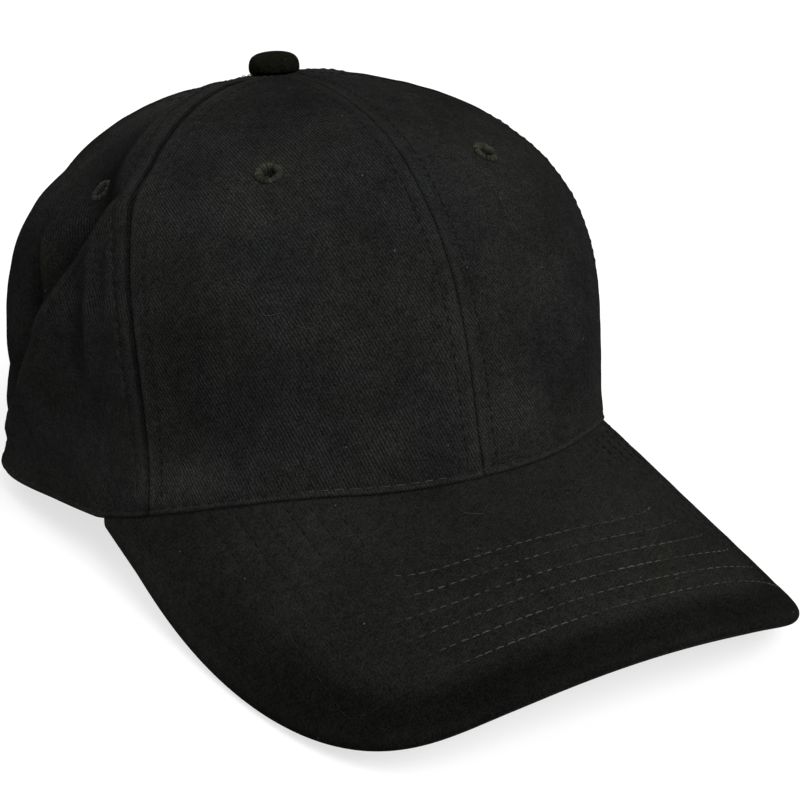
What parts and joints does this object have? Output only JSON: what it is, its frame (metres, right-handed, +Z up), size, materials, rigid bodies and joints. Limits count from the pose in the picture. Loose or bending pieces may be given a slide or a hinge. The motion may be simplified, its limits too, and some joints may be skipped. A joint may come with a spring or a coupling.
{
  "type": "baseball cap",
  "caption": "Structured panelled baseball cap in black cotton twill with a curved stitched visor, covered top button, sewn eyelets, sweatband and a clasp strap at the back.",
  "frame": {"origin": "on the table, below the middle of the cap's footprint, with the cap in its rest pose on the visor's two low points and the rear of the hem", "axes": "+Z up from the table, -Y towards the visor, +X towards the wearer's left"},
  "size_m": [0.181, 0.2692, 0.1334],
  "materials": {
    "crown_twill": "brushed cotton twill, matt",
    "visor_twill": "brushed cotton twill, matt",
    "strap_twill": "brushed cotton twill, matt",
    "buckram_mesh": "stiffened open mesh",
    "seam_tape": "woven tape, matt",
    "sweatband_cotton": "cotton twill, matt",
    "lining_felt": "pressed felt",
    "label_satin": "satin",
    "eyelet_thread": "satin stitch thread",
    "board_plastic": "moulded sheet",
    "button_metal": "pressed sheet",
    "rivet_metal": "pressed steel",
    "clasp_metal": "antiqued nickel"
  },
  "bodies": {
    "cap": {"front_panel_left": "crown_twill", "front_panel_right": "crown_twill", "side_panel_left": "crown_twill", "side_panel_right": "crown_twill", "back_panel_left": "crown_twill", "back_panel_right": "crown_twill", "visor_top_cloth": "visor_twill", "visor_under_cloth": "visor_twill", "button_cover": "crown_twill", "buckle_tab": "strap_twill", "buckram_left": "buckram_mesh", "buckram_right": "buckram_mesh", "seam_tape_front_centre": "seam_tape", "seam_tape_rear_centre": "seam_tape", "seam_tape_front_side_left": "seam_tape", "seam_tape_front_side_right": "seam_tape", "seam_tape_rear_side_left": "seam_tape", "seam_tape_rear_side_right": "seam_tape", "arch_tape": "seam_tape", "sweatband": "sweatband_cotton", "sweatband_lining": "lining_felt", "care_label": "label_satin", "eyelet_front_left": "eyelet_thread", "eyelet_front_right": "eyelet_thread", "eyelet_side_left": "eyelet_thread", "eyelet_side_right": "eyelet_thread", "eyelet_back_left": "eyelet_thread", "eyelet_back_right": "eyelet_thread", "visor_board": "board_plastic", "button_shell": "button_metal", "button_rivet": "rivet_metal", "button_backing": "rivet_metal", "buckle_frame": "clasp_metal", "buckle_pin": "clasp_metal"},
    "strap": {"strap": "strap_twill"},
    "lever": {"buckle_lever": "clasp_metal"}
  },
  "joints": [
    {"name": "strap_slide", "type": "hinge", "parent": "cap", "child": "strap", "pos_m": [0, 0.05699, 0.01122], "axis": [0, -0.1357, -0.9907], "range_deg": [-20, 8]},
    {"name": "buckle_lever_hinge", "type": "hinge", "parent": "cap", "child": "lever", "pos_m": [0.03396, 0.12522, 0.01197], "axis": [0, -0.1357, -0.9907], "range_deg": [0, 110]}
  ]
}
